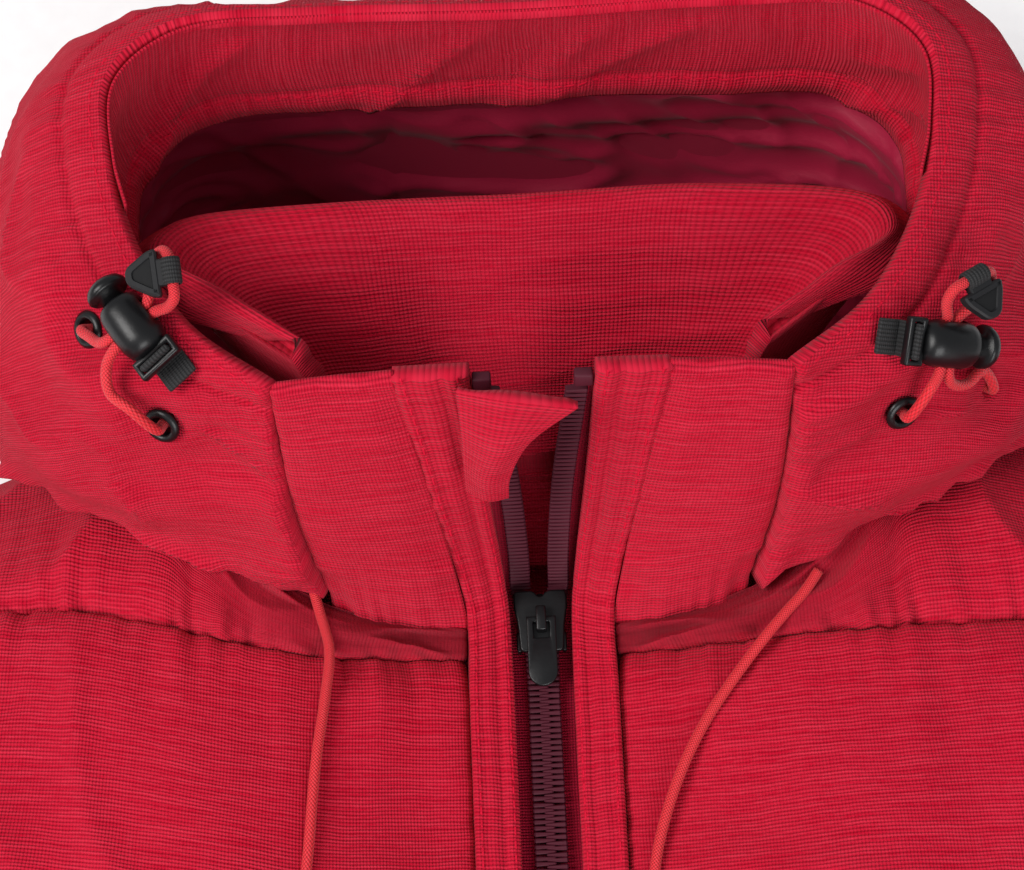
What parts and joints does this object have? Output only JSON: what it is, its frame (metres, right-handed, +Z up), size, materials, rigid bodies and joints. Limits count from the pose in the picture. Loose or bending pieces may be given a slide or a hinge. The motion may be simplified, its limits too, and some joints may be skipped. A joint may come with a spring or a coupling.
{
  "type": "ski jacket",
  "caption": "Padded hooded ski jacket lying on its back, zipped front with stand collar, folded hood with cord locks and drawcords.",
  "frame": {"origin": "middle of the jacket's outline on the surface it lies on", "axes": "+X towards the wearer's left sleeve, +Y from the hem to the hood, +Z up, away from the surface the back lies on"},
  "size_m": [1.375, 0.7572, 0.1662],
  "materials": {
    "red_shell": "two-tone slub weave, matte",
    "wine_lining": "smooth satin lining",
    "zip_tape": "woven tape",
    "zip_teeth": "moulded coil, satin",
    "black_plastic": "satin moulded plastic",
    "black_rubber": "matte moulded rubber",
    "black_webbing": "ribbed elastic webbing",
    "spring_steel": "drawn wire",
    "red_cord": "braided elastic cord"
  },
  "bodies": {
    "jacket": {"front_panel_left": "red_shell", "yoke_left": "red_shell", "front_panel_right": "red_shell", "yoke_right": "red_shell", "back_panel": "red_shell", "hem_band": "red_shell", "body_lining": "wine_lining", "sleeve_left": "red_shell", "cuff_left": "red_shell", "sleeve_right": "red_shell", "cuff_right": "red_shell", "zip_chain_left": "zip_teeth", "zip_tape_left": "zip_tape", "zip_top_stop_left": "black_plastic", "placket_left": "red_shell", "collar_front_left": "red_shell", "zip_chain_right": "zip_teeth", "zip_tape_right": "zip_tape", "zip_top_stop_right": "black_plastic", "placket_right": "red_shell", "collar_front_right": "red_shell", "zip_retainer_box": "black_plastic", "collar_back": "red_shell", "hood_side_right": "red_shell", "hood_back": "red_shell", "hood_side_left": "red_shell", "hood_brim": "red_shell", "hood_lining": "wine_lining", "hood_crown": "red_shell", "eyelet_right_upper": "black_plastic", "eyelet_right_lower": "black_plastic", "eyelet_left_lower": "black_plastic", "eyelet_left_upper": "black_plastic", "lock_barrel_left": "black_plastic", "lock_spring_left": "spring_steel", "lock_webbing_left": "black_webbing", "elastic_cord_left": "red_cord", "lock_barrel_right": "black_plastic", "lock_spring_right": "spring_steel", "lock_webbing_right": "black_webbing", "elastic_cord_right": "red_cord", "drawcord_left": "red_cord", "cord_end_left": "black_rubber", "drawcord_right": "red_cord", "cord_end_right": "black_rubber", "pocket_zip_left": "zip_teeth", "pocket_zip_right": "zip_teeth"},
    "zip_slider": {"zip_slider": "black_plastic"},
    "zip_puller": {"zip_puller": "black_plastic"},
    "chin_guard": {"chin_guard": "red_shell"},
    "lock_button_left": {"lock_button_left": "black_plastic"},
    "pull_tab_left": {"pull_tab_left": "black_rubber"},
    "cuff_tab_left": {"cuff_tab_left": "black_rubber"},
    "pocket_slider_left": {"pocket_slider_left": "black_plastic"},
    "pocket_puller_left": {"pocket_puller_left": "black_plastic"},
    "lock_button_right": {"lock_button_right": "black_plastic"},
    "pull_tab_right": {"pull_tab_right": "black_rubber"},
    "cuff_tab_right": {"cuff_tab_right": "black_rubber"},
    "pocket_slider_right": {"pocket_slider_right": "black_plastic"},
    "pocket_puller_right": {"pocket_puller_right": "black_plastic"}
  },
  "joints": [
    {"name": "zip_slider_slide", "type": "slide", "parent": "jacket", "child": "zip_slider", "axis": [0, -0.9996, -0.03], "range_m": [0, 0.58]},
    {"name": "zip_puller_hinge", "type": "hinge", "parent": "zip_slider", "child": "zip_puller", "pos_m": [0, 0.22833, 0.08106], "axis": [-1, 0, 0], "range_deg": [0, 100]},
    {"name": "chin_guard_fold", "type": "hinge", "parent": "jacket", "child": "chin_guard", "pos_m": [-0.01525, 0.2517, 0.14275], "axis": [-0.0161, -0.3036, -0.9527], "range_deg": [0, 40]},
    {"name": "lock_button_left_press", "type": "slide", "parent": "jacket", "child": "lock_button_left", "axis": [-0.858, -0.0941, 0.505], "range_m": [0, 0.0025], "stiffness_N_per_m": 400, "springref_m": -0.002},
    {"name": "lock_button_right_press", "type": "slide", "parent": "jacket", "child": "lock_button_right", "axis": [0.5622, -0.8267, -0.0208], "range_m": [0, 0.0025], "stiffness_N_per_m": 400, "springref_m": -0.002},
    {"name": "pull_tab_left_hinge", "type": "hinge", "parent": "jacket", "child": "pull_tab_left", "pos_m": [0.09773, 0.28028, 0.15625], "axis": [-0.8302, -0.5172, 0.2082], "range_deg": [0, 70]},
    {"name": "pull_tab_right_hinge", "type": "hinge", "parent": "jacket", "child": "pull_tab_right", "pos_m": [-0.07738, 0.28687, 0.16344], "axis": [-0.1064, 0.9696, 0.2203], "range_deg": [0, 70]},
    {"name": "cuff_tab_left_fold", "type": "hinge", "parent": "jacket", "child": "cuff_tab_left", "pos_m": [0.63466, -0.17679, 0.0506], "axis": [-0.697, 0.7161, 0.0371], "range_deg": [0, 70]},
    {"name": "cuff_tab_right_fold", "type": "hinge", "parent": "jacket", "child": "cuff_tab_right", "pos_m": [-0.63466, -0.17679, 0.0506], "axis": [-0.697, -0.7161, -0.0371], "range_deg": [0, 70]},
    {"name": "pocket_slider_left_slide", "type": "slide", "parent": "jacket", "child": "pocket_slider_left", "axis": [0.1908, -0.9814, -0.0196], "range_m": [0, 0.146]},
    {"name": "pocket_slider_right_slide", "type": "slide", "parent": "jacket", "child": "pocket_slider_right", "axis": [-0.1908, -0.9814, -0.0196], "range_m": [0, 0.146]},
    {"name": "pocket_puller_left_hinge", "type": "hinge", "parent": "pocket_slider_left", "child": "pocket_puller_left", "pos_m": [0.1621, 0.00292, 0.09883], "axis": [-0.9816, -0.1908, 0], "range_deg": [0, 100]},
    {"name": "pocket_puller_right_hinge", "type": "hinge", "parent": "pocket_slider_right", "child": "pocket_puller_right", "pos_m": [-0.1621, 0.00292, 0.09883], "axis": [-0.9816, 0.1908, 0], "range_deg": [0, 100]}
  ]
}
